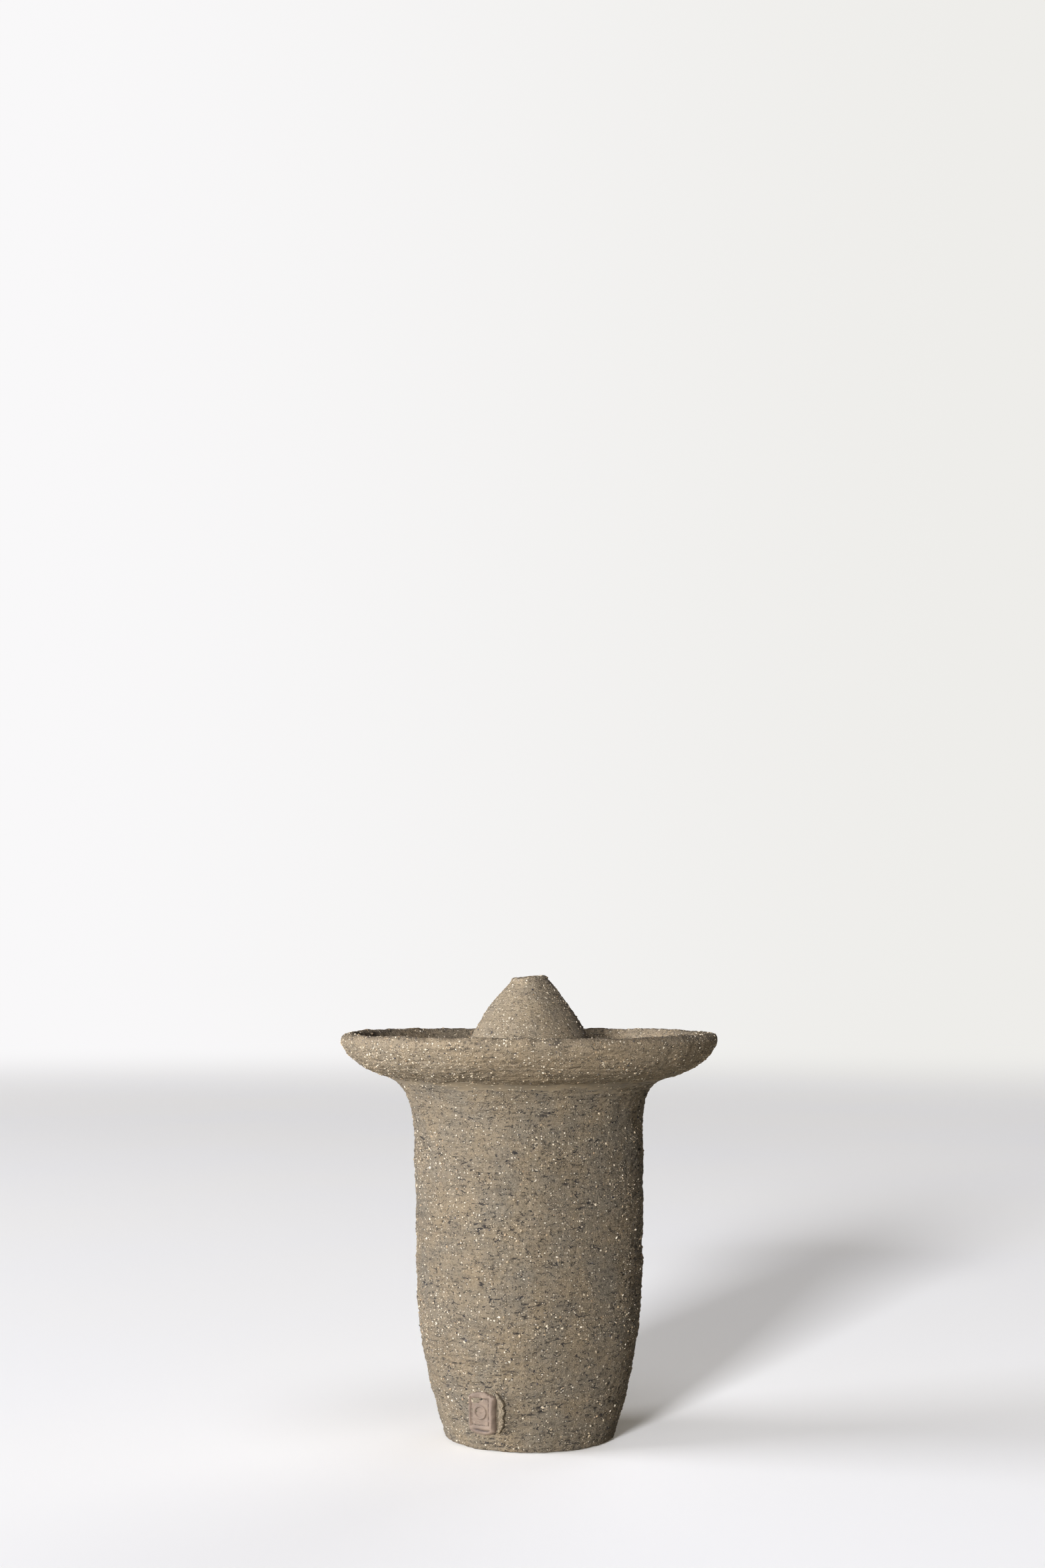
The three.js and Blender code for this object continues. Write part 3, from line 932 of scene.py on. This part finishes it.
@dataclass
class Cone:
    """The hollow cone that the stem stands in."""

    shoulder_radius: float = 5.6 * MM
    bulge: float = 0.9 * MM
    wall: float = 4.6 * MM
    bore_radius: float = 3.3 * MM
    lip_inset: float = 0.3 * MM  # kept inside the model's box, for the lip's unevenness
    turns: int = 320
    row: float = 0.32 * MM
    surface: ThrownSurface = field(
        default_factory=lambda: ThrownSurface(
            lean=-0.9, lines=0.12 * MM, lumps=0.14 * MM, grit=0.07 * MM, tear=0.12 * MM, seed=80.0
        )
    )

    def __post_init__(self) -> None:
        """Takes the cone's size from the model."""
        low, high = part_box("cone")
        self.foot_radius = high.x
        self.seat = low.z
        self.top = high.z - self.lip_inset

    def profile(self) -> Profile:
        """The closed section, up the side, over the lip and down the hollow."""
        lip = (self.shoulder_radius - self.bore_radius) / 2
        shoulder = self.top - lip
        middle = (
            (self.foot_radius + self.shoulder_radius) / 2 + self.bulge,
            (self.seat + shoulder) / 2 + 2 * self.bulge,
        )
        line = Profile(self.foot_radius, self.seat, 1.0)
        line.bend(middle, (self.shoulder_radius, shoulder), self.row)
        line.round_over(self.bore_radius, shoulder, 0.2 * MM)
        line.line(self.bore_radius, shoulder - 4.5 * MM, 0.35 * MM, 0.6)
        line.line(self.foot_radius - self.wall * 1.16, self.seat, 1.5 * MM, 0.3)
        return line

    def stray(self, place: Vector) -> Vector:
        """How far the form strays from true round: the lip is higher on the right than on the left."""
        angle = math.atan2(place.y, place.x)
        around = Vector((math.cos(angle), math.sin(angle), 0.0))
        rise = ease(place.z, self.seat + 6 * MM, self.top)
        drop = 0.42 * MM * (1 - math.cos(angle - 0.2)) + 0.25 * MM * abs(noise.noise(around * 3))
        swell = noise.noise(around * 1.2 + Vector((0, 0, place.z / (9 * MM))))
        return Vector((0, 0, -drop * rise ** 3)) + around * (0.4 * MM * swell * (1 - rise ** 4))

    def density(self, place: Vector) -> float:
        """How thick the grog shows at a place."""
        rise = (place.z - self.seat) / (self.top - self.seat)
        if math.hypot(place.x, place.y) < self.bore_radius + 0.4 * MM:
            return 0.0
        return (0.6 + 0.4 * ease(rise, 0.1, 0.5)) * (1 - 0.6 * ease(rise, 0.8, 1.0))

    def build(self, clay: bpy.types.Material, grain: bpy.types.Material) -> None:
        """Makes the cone and its grog."""
        shape = self.profile().spun(self.turns, closed=True)
        relief = shape.verts.layers.float["relief"]
        for vert in shape.verts:
            vert.co += self.stray(vert.co) * vert[relief]
        raise_relief(shape, self.surface)
        body = settle(shape, "cone_body", clay, ("cone",))
        Grog("cone_grog", 1500, 0.26 * MM, 0.75 * MM, 0.08, 31).scatter(body, self.density, grain)


# ------------------------------------------------------------------------------------------ joints


@dataclass
class Luting:
    """What joins the thrown pieces: a worked coil at each corner, and the slip in the seams."""

    collar_radius: float = 40 * MM
    collar_drop: float = 3.0 * MM
    collar_reach: float = 2.6 * MM
    cone_size: float = 2.2 * MM
    tuck: float = 0.35 * MM  # how far a coil's edges sink into what it joins
    surface: ThrownSurface = field(
        default_factory=lambda: ThrownSurface(lines=0.08 * MM, lumps=0.1 * MM, grit=0.07 * MM, pit=0.1 * MM)
    )

    def collar_coil(self, vessel: Vessel, clay: bpy.types.Material) -> None:
        """Makes the coil worked into the corner under the dish."""
        low = vessel.mouth - self.collar_drop
        start = Vector((vessel.side.radius_at(low) - self.tuck, low))
        end = Vector((self.collar_radius + self.collar_reach, vessel.mouth + 0.5 * MM + self.collar_reach * 0.3))
        line = Profile(start.x, start.y, 0.5)
        line.bend((start.x + 1.7 * MM, start.y + 2.4 * MM), tuple(end), 0.3 * MM, 0.5)
        line.line(self.collar_radius - 1.5 * MM, end.y, 2 * MM, 0.0)
        line.line(start.x - 1.0 * MM, start.y + 0.5 * MM, 2 * MM, 0.0)
        shape = line.spun(440, closed=True)
        relief = shape.verts.layers.float["relief"]
        for vert in shape.verts:
            vert.co += vessel.stray(vert.co) * 0.8 * (vert[relief] > 0)
        raise_relief(shape, self.surface)
        settle(shape, "collar_coil_worked", clay, ("collar_coil",))

    def cone_coil(self, cone: Cone, dish: Dish, clay: bpy.types.Material) -> None:
        """Makes the coil worked round the foot of the cone."""
        floor_top = dish.seat + dish.floor
        up = Vector((cone.foot_radius - self.cone_size * 0.62, cone.seat + self.cone_size))
        out = Vector((cone.foot_radius + self.cone_size, floor_top - self.tuck))
        line = Profile(out.x, out.y, 0.6)
        line.bend((cone.foot_radius + 0.3 * MM, floor_top + 0.35 * MM), tuple(up), 0.3 * MM)
        line.line(up.x - 1.2 * MM, up.y - 0.4 * MM, 1 * MM, 0.0)
        line.line(cone.foot_radius - 1.5 * MM, floor_top - self.tuck, 3 * MM, 0.0)
        shape = line.spun(304, closed=True)
        raise_relief(shape, self.surface)
        settle(shape, "cone_coil_worked", clay, ("cone_coil",))

    @staticmethod
    def dress(node: str, finish: bpy.types.Material) -> None:
        """Gives one of the model's own nodes its finish."""
        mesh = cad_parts[node].data
        mesh.materials.clear()
        mesh.materials.append(finish)
        log.info("%s: dressed", node)


# ------------------------------------------------------------------------------------------ maker's seal


@dataclass
class Seal:
    """A pad of fine clay on the heel, pressed with a framed ring, its clay pushed out to the right."""

    azimuth: float = math.radians(29)
    height: float = 12 * MM
    width: float = 9.4 * MM
    length: float = 12.0 * MM
    crown: float = 1.3 * MM  # how far the top edge rises in its middle
    lean: float = 0.8 * MM  # how far the top stands to the right of the middle, which keeps the pad upright
    lip: float = 1.1 * MM  # how far the clay bulges out below
    proud: tuple[float, float] = (0.45 * MM, 1.05 * MM)  # at the left edge and at the right
    edge: float = 0.7 * MM
    panel: tuple[float, float] = (3.3 * MM, 4.4 * MM)  # half width and half length
    panel_depth: float = 0.32 * MM
    ridge: float = 0.42 * MM
    ring: tuple[float, float] = (1.55 * MM, 2.15 * MM)
    flap_width: float = 3.2 * MM
    flap_length: float = 12.6 * MM
    flap_proud: float = 1.7 * MM
    root: float = 0.7 * MM  # how far the pad reaches under the wall's surface

    def wrap(self, vessel: Vessel, right: float, up: float, out: float) -> Vector:
        """The place of a point of the seal on the vessel's wall.

        Args:
            vessel: the vessel.
            right: distance to the right of the seal's middle.
            up: distance above it.
            out: distance outside the wall.

        Returns:
            The place.
        """
        height = self.height + up
        wall = vessel.side.radius_at(height)
        angle = -math.pi / 2 - self.azimuth + right / wall
        around = Vector((math.cos(angle), math.sin(angle), 0.0))
        on_wall = around * wall + Vector((0, 0, height))
        return on_wall + vessel.stray(on_wall) + around * out

    def _pad_point(self, across: float, along: float) -> tuple[float, float, float, float]:
        """One point of the pad's face, from its place on a square from -1 to 1.

        Args:
            across: from the left edge to the right.
            along: from the bottom edge to the top.

        Returns:
            Distances right, up and out, and how deep in a line, under the lip or at the dented left edge the point
            is, from which the clay paints shade.
        """
        rough = noise.noise(Vector((across * 3, along * 4, 5.0)))
        fine = noise.noise(Vector((across * 9, along * 12, 2.0)))
        right = across * self.width / 2 * (1 + 0.03 * rough) + self.lean * along
        up = along * self.length / 2 + 0.12 * MM * (rough + fine)
        up -= self.crown * across ** 2 * ease(along, 0.0, 1.0)
        up -= self.lip * (1 - across ** 2) * ease(along, -0.72, -1.0)
        inset = min((1 - abs(across)) * self.width, (1 - abs(along)) * self.length) / 2
        swell = self.proud[0] + (self.proud[1] - self.proud[0]) * ease(across, -0.2, 1.0)
        out = swell * ease(inset, -0.3 * self.edge, self.edge) - self.root * ease(inset, 0.15 * self.edge, 0.0)
        out += 0.10 * MM * rough + 0.05 * MM * fine
        beside = right - self.lean * along + 0.5 * MM
        margin = min(self.panel[0] - abs(beside), self.panel[1] - abs(up + 0.2 * MM))
        out -= self.panel_depth * ease(margin, -0.15 * MM, 0.2 * MM)
        on_ridge = ease(abs(across - 0.74), 0.16, 0.02) * ease(abs(along), 0.95, 0.7)
        out += self.ridge * on_ridge
        groove = ease(abs(margin - 0.45 * MM), 0.14 * MM, 0.04 * MM) * ease(fine, -0.6, 0.2)
        under_lip = ease(abs(along + 0.86), 0.05, 0.0) * ease(abs(across), 0.75, 0.4)
        worn_and_shaded = ease(across, -0.82, -0.93) * ease(fine, 0.05, 0.3)
        from_middle = math.hypot(beside, up + 0.2 * MM)
        inner, outer = self.ring
        on_ring = ease(from_middle, inner - 0.12 * MM, inner + 0.08 * MM)
        on_ring *= ease(from_middle, outer + 0.12 * MM, outer - 0.08 * MM)
        out += 0.30 * MM * on_ring - 0.24 * MM * groove - 0.3 * MM * under_lip - 0.3 * MM * worn_and_shaded
        # the groove, the trough under the lip and the dented left edge are dented above and darkened here as painted
        # shade
        return right, up, out, max(0.75 * groove, 0.8 * under_lip, worn_and_shaded)

    def _flap_point(self, across: float, along: float) -> tuple[float, float, float, float]:
        """One point of the flap, from its place on a square from -1 to 1."""
        rough = noise.noise(Vector((along * 2.6, 9.0, 0))) + 0.3 * noise.noise(Vector((along * 5.5, 3.0, 0)))
        crumb = noise.noise(Vector((along * 17, across * 5, 1.0)))
        belly = max(1 - abs(along) ** 2.6, 0.0) ** 0.7
        breadth = self.flap_width * belly * (0.85 + 0.5 * rough + 0.06 * crumb)
        left = self.width / 2 + 0.15 * MM + self.lean * along - 0.7 * MM * ease(along, 0.3, 1.0)
        right = left + (across + 1) / 2 * max(breadth, 0.05 * MM)
        up = along * self.flap_length / 2
        crest = ease(1 - abs(across - 0.3), 0.0, 0.6) * belly ** 0.5
        out = self.flap_proud * crest * (0.9 + 0.3 * rough + 0.12 * crumb)
        out -= self.root * (1 - ease(1 - abs(across), 0.0, 0.12))
        # painted shade in the narrow gap between the flap and the pad
        crack_shade = ease(abs(across + 0.93), 0.14, 0.0)
        return right, up, out, 0.9 * crack_shade

    def _sheet(self, vessel: Vessel, columns: int, rows: int,
               point: Callable[[float, float], tuple[float, float, float, float]]) -> bmesh.types.BMesh:
        """A closed slab whose face is shaped point by point and whose back lies inside the wall."""
        shape = bmesh.new()
        hollow = shape.verts.layers.float.new("hollow")
        bmesh.ops.create_grid(shape, x_segments=columns, y_segments=rows, size=1.0)
        rim = [edge for edge in shape.edges if edge.is_boundary]
        back = bmesh.ops.extrude_edge_only(shape, edges=rim)["geom"]
        back_verts = {item for item in back if isinstance(item, bmesh.types.BMVert)}
        back_edges = [item for item in back if isinstance(item, bmesh.types.BMEdge)]
        for vert in shape.verts:
            right, up, out, depth = point(vert.co.x, vert.co.y)
            # the fourth value is painted shade, kept in the "hollow" layer
            vert[hollow] = depth
            vert.co = self.wrap(vessel, right, up, -1.6 * self.root if vert in back_verts else out)
        bmesh.ops.holes_fill(shape, edges=back_edges, sides=0)
        bmesh.ops.recalc_face_normals(shape, faces=shape.faces)
        return shape

    def build(self, vessel: Vessel, fine_clay: bpy.types.Material, torn_clay: bpy.types.Material) -> None:
        """Makes the pad, and the flap of torn clay beside it."""
        pad = self._sheet(vessel, 110, 140, self._pad_point)
        settle(pad, "seal_pressed", fine_clay, ("seal_pad",))
        flap = self._sheet(vessel, 24, 130, self._flap_point)
        settle(flap, "seal_flap", torn_clay)


# ------------------------------------------------------------------------------------------ studio


@dataclass(frozen=True)
class Softbox:
    """One soft light aimed at the vase."""

    name: str
    azimuth: float  # degrees from the front, towards the left
    elevation: float  # degrees above the floor
    distance: float
    size: tuple[float, float]  # width and height
    power: float  # in watts
    colour: tuple[float, float, float] = (0.95, 0.985, 1.125)

    def build(self) -> None:
        """Makes the light."""
        data = bpy.data.lights.new(self.name, "AREA")
        data.shape = "RECTANGLE"
        data.size, data.size_y = self.size
        data.energy = self.power
        data.color = self.colour
        light = bpy.data.objects.new(self.name, data)
        across, up = math.radians(self.azimuth), math.radians(self.elevation)
        toward = Vector((-math.sin(across) * math.cos(up), -math.cos(across) * math.cos(up), math.sin(up)))
        light.location = Vector((0, 0, 70 * MM)) + toward * self.distance
        light.rotation_euler = (-toward).to_track_quat("-Z", "Y").to_euler()
        bpy.context.scene.collection.objects.link(light)


@dataclass
class Studio:
    """A pale paper floor, soft lights mostly from the front left, a dim warm room, and the camera."""

    camera_distance: float = 669 * MM
    camera_height: float = 141 * MM
    camera_right: float = -2.15 * MM
    camera_tilt: float = math.radians(4.75)  # upwards
    lens: float = 50.0
    floor_size: float = 24.0
    lights: tuple[Softbox, ...] = (
        Softbox("key", 20, 12.5, 5.5, (0.9, 0.9), 384.0),
        Softbox("side", 84, 8.5, 4.5, (3.0, 1.35), 232.0),
        Softbox("top", -20, 72, 4.0, (2.0, 2.0), 17.0),
        Softbox("back", -155, 28, 4.0, (2.5, 2.5), 24.0),
    )
    room: Colour = (0.014, 0.009, 0.004, 1.0)  # what the room adds from all round
    backdrop: tuple[Colour, Colour] = ((0.665, 0.66, 0.665, 1.0), (0.61, 0.605, 0.59, 1.0))  # left and right
    look: str = "High Contrast"

    def camera(self) -> None:
        """Makes the scene's camera."""
        data = bpy.data.cameras.new("camera")
        data.lens = self.lens
        data.sensor_width = 36.0
        data.clip_start, data.clip_end = 0.05, 50.0
        camera = bpy.data.objects.new("camera", data)
        camera.location = (self.camera_right, -self.camera_distance, self.camera_height)
        camera.rotation_euler = (math.pi / 2 + self.camera_tilt, 0.0, 0.0)
        bpy.context.scene.collection.objects.link(camera)
        bpy.context.scene.camera = camera

    def floor(self) -> None:
        """Makes the paper floor."""
        shape = bmesh.new()
        bmesh.ops.create_grid(shape, x_segments=8, y_segments=8, size=self.floor_size / 2)
        mesh = bpy.data.meshes.new("floor")
        shape.to_mesh(mesh)
        shape.free()
        mesh.materials.append(Paper(self.backdrop).material())
        floor = bpy.data.objects.new("floor", mesh)
        bpy.context.scene.collection.objects.link(floor)

    def world(self) -> None:
        """Makes the room: a pale backdrop to look at, which lights the vase only as much as the room does."""
        graph = Graph(bpy.data.worlds.new("room"))
        direction = graph.node("ShaderNodeTexCoord").outputs["Generated"]
        across, _, _ = graph.split(direction)
        pale = graph.mix(across.step(-0.25, 0.25), *self.backdrop)
        seen = graph.node("ShaderNodeBackground", None, {"Color": pale})
        room = graph.node("ShaderNodeBackground", None, {"Color": self.room})
        looked_at = graph.node("ShaderNodeLightPath").outputs["Is Camera Ray"]
        both = graph.node("ShaderNodeMixShader", None, {0: looked_at, 1: room.outputs[0], 2: seen.outputs[0]})
        graph.node("ShaderNodeOutputWorld", None, {"Surface": both.outputs[0]})
        bpy.context.scene.world = graph.owner

    def build(self) -> None:
        """Makes everything round the vase."""
        self.camera()
        self.floor()
        self.world()
        for light in self.lights:
            light.build()
        bpy.context.scene.view_settings.view_transform = "Standard"
        bpy.context.scene.view_settings.look = self.look


# ------------------------------------------------------------------------------------------ the vase


def main() -> None:
    """Builds the studio and the vase, piece by piece."""
    logging.basicConfig(level=logging.INFO, format="%(message)s")
    Studio().build()

    upright_clay = GroggedClay("grogged clay").material()
    dish_clay = GroggedClay(
        "grogged clay of the dish",
        warm=(0.268, 0.212, 0.134, 1),
        cool=(0.234, 0.192, 0.129, 1),
        shade=(0.148, 0.122, 0.084, 1),
        speck_share=0.6,
        shade_in_hollows=0.6,
        coarseness=0.7,
    ).material()
    cone_clay = GroggedClay(
        "grogged clay of the cone",
        lean=-0.9,
        warm=(0.272, 0.218, 0.138, 1),
        cool=(0.235, 0.195, 0.133, 1),
        shade=(0.185, 0.15, 0.102, 1),
        speck_share=0.75,
        shade_in_hollows=0.5,
        coarseness=0.5,
    ).material()
    torn_clay = GroggedClay("torn clay", speck_share=0.4, shade_in_hollows=0.3, coarseness=0.45).material()
    smooth_clay = FineClay("smooth clay", (0.232, 0.188, 0.122, 1), (0.178, 0.15, 0.105, 1), 0.7).material()
    seal_clay = FineClay("seal clay", (0.196, 0.151, 0.108, 1), (0.146, 0.113, 0.083, 1), 0.05).material()
    grain = GrogGrain().material()

    vessel, dish, cone = Vessel(), Dish(), Cone()
    vessel.build(upright_clay, grain)
    dish.build(dish_clay, grain)
    cone.build(cone_clay, grain)

    luting = Luting()
    luting.collar_coil(vessel, smooth_clay)
    luting.cone_coil(cone, dish, smooth_clay)
    slip = Slip().material()
    luting.dress("collar_slip", slip)
    luting.dress("cone_slip", slip)
    luting.dress("liner_glaze", LinerGlaze().material())
    Seal().build(vessel, seal_clay, torn_clay)


if __name__ == "__main__":
    main()
